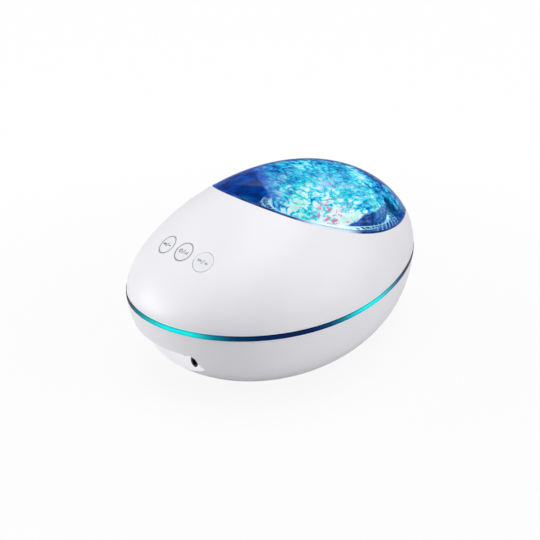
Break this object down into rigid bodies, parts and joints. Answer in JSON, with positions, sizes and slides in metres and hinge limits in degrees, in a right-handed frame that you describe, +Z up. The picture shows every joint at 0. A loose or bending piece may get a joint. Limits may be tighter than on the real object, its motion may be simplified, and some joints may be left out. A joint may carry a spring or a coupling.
{
  "type": "projector lamp",
  "caption": "Egg-shaped night projector lamp: a lamp under a turning wave dome and a clear cover casts moving water light; push buttons, a speaker and sockets sit in a white case.",
  "frame": {"origin": "middle of the footprint, on the surface the rubber feet stand on", "axes": "+Z up, -Y towards the nose with the buttons and sockets, +X to the side that lies right when the nose points away"},
  "size_m": [0.1146, 0.1656, 0.0953],
  "materials": {
    "case": "polished white",
    "button_caps": "polished white with printed grey signs",
    "trim": "plated, shading from navy to cyan",
    "cover": "clear, blue tinted, polished",
    "seal": "matt dark navy",
    "deck": "fine grain",
    "bezel": "ribbed, polished",
    "dome": "clear, moulded with waves",
    "gears": "smooth acetal",
    "steel": "zinc plated",
    "motor_can": "drawn steel",
    "lamp_cup": "black, heat resistant",
    "reflector": "bright metallised",
    "led_board": "white solder mask",
    "leds": "phosphor under clear resin",
    "heat_sink": "extruded, bare",
    "feet": "matt",
    "board": "green solder mask",
    "black_plastic": "moulded",
    "can_sleeve": "shrunk sleeve",
    "plugs": "ivory nylon",
    "speaker_metal": "pressed, painted",
    "paper_cone": "pressed paper",
    "magnet": "sintered ferrite"
  },
  "bodies": {
    "housing": {"upper_shell": "case", "lower_shell": "case", "trim_ring": "trim", "clear_cover": "cover", "cover_seal": "seal", "lamp_deck": "deck", "ribbed_bezel": "bezel", "gear_motor": "motor_can", "motor_bracket": "steel", "motor_screws": "steel", "lamp_cup": "lamp_cup", "lamp_screws": "steel", "reflector": "reflector", "led_board": "led_board", "leds": "leds", "heat_sink": "heat_sink", "deck_screws": "steel", "case_screws": "steel", "rubber_feet": "feet", "switches": "black_plastic", "switch_board": "board", "switch_board_screws": "steel", "main_board": "board", "board_screws": "steel", "audio_socket": "black_plastic", "card_socket": "black_plastic", "power_socket": "black_plastic", "main_chip": "black_plastic", "capacitors": "can_sleeve", "board_plugs": "plugs", "speaker_frame": "speaker_metal", "speaker_cone": "paper_cone", "speaker_magnet": "magnet", "speaker_screws": "steel"},
    "dome": {"wave_dome": "dome", "ring_gear": "gears"},
    "drive_pinion": {"pinion": "gears", "pinion_shaft": "steel"},
    "minus_button": {"button_minus": "button_caps", "plunger_minus": "black_plastic"},
    "mode_button": {"button_mode": "button_caps", "plunger_mode": "black_plastic"},
    "plus_button": {"button_plus": "button_caps", "plunger_plus": "black_plastic"}
  },
  "joints": [
    {"name": "dome_spin", "type": "hinge", "parent": "housing", "child": "dome", "pos_m": [0, 0.02805, 0.066], "axis": [0, 0.1736, 0.9848], "continuous": true},
    {"name": "pinion_spin", "type": "hinge", "parent": "housing", "child": "drive_pinion", "pos_m": [0, -0.00642, 0.07208], "axis": [0, 0.1736, 0.9848], "continuous": true},
    {"name": "minus_press", "type": "slide", "parent": "housing", "child": "minus_button", "axis": [0, 0.6061, -0.7954], "range_m": [0, 0.0005], "stiffness_N_per_m": 400, "springref_m": -0.0005},
    {"name": "mode_press", "type": "slide", "parent": "housing", "child": "mode_button", "axis": [0, 0.6061, -0.7954], "range_m": [0, 0.0005], "stiffness_N_per_m": 400, "springref_m": -0.0005},
    {"name": "plus_press", "type": "slide", "parent": "housing", "child": "plus_button", "axis": [0, 0.6061, -0.7954], "range_m": [0, 0.0005], "stiffness_N_per_m": 400, "springref_m": -0.0005}
  ],
  "couplings": [
    {"joint": "pinion_spin", "follows": "dome_spin", "ratio": -4}
  ]
}
